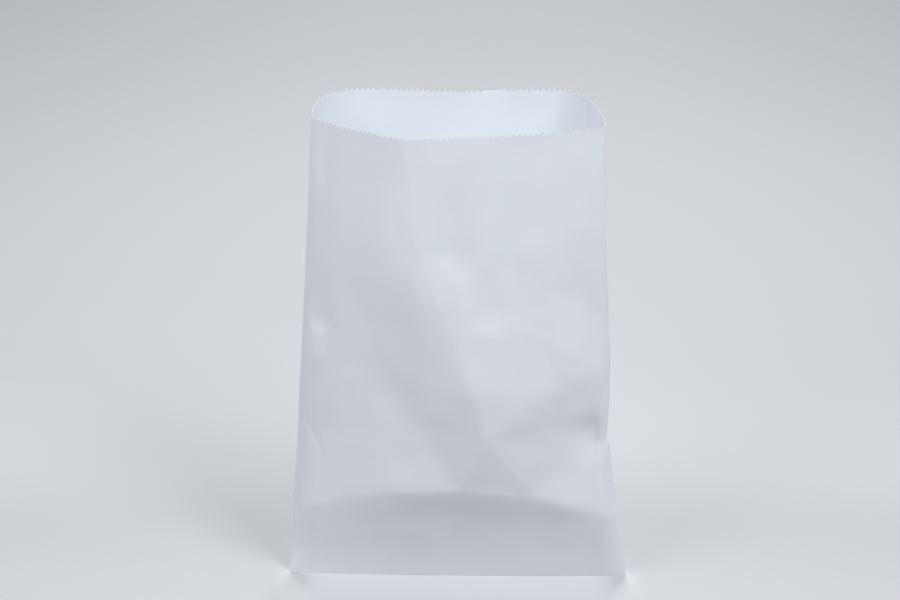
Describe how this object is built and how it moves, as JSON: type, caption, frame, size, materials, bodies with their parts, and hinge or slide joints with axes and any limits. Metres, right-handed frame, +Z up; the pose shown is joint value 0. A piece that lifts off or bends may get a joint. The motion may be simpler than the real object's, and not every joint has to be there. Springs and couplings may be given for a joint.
{
  "type": "merchandise bag",
  "caption": "Flat white paper merchandise bag standing open, pinched shut at the foot, with a pinked rim and a three-armed dent low in the front panel.",
  "frame": {"origin": "middle of the bag's foot, on the floor it stands on", "axes": "+Z up through the mouth, +X to the right along the foot as the dented front panel is faced, +Y towards the back panel"},
  "size_m": [0.1598, 0.062, 0.2325],
  "materials": {
    "white_paper": "smooth machine-glazed, slightly translucent"
  },
  "bodies": {
    "root": {"bag_sheet": "white_paper"}
  },
  "joints": []
}
